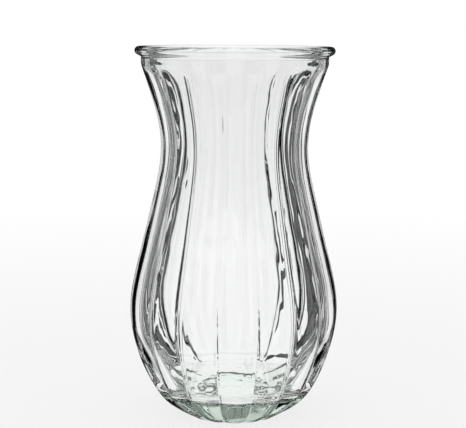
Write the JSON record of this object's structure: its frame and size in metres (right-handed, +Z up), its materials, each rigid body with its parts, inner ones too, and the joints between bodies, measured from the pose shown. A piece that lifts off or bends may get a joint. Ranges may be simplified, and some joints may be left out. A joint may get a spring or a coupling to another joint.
{
  "type": "flower vase",
  "caption": "Clear pressed-glass flower vase with a fluted, waisted wall, a small round foot and a flared, beaded mouth.",
  "frame": {"origin": "middle of the ring under the foot that the vase stands on, at the level of the ground", "axes": "+Z up along the axis of the vase, towards the mouth; the middle of one panel faces -Y and another faces +X"},
  "size_m": [0.136, 0.136, 0.24],
  "materials": {
    "glass": "clear, smooth and glossy, with a faint green in thick places"
  },
  "bodies": {
    "root": {"vase_body": "glass"}
  },
  "joints": []
}
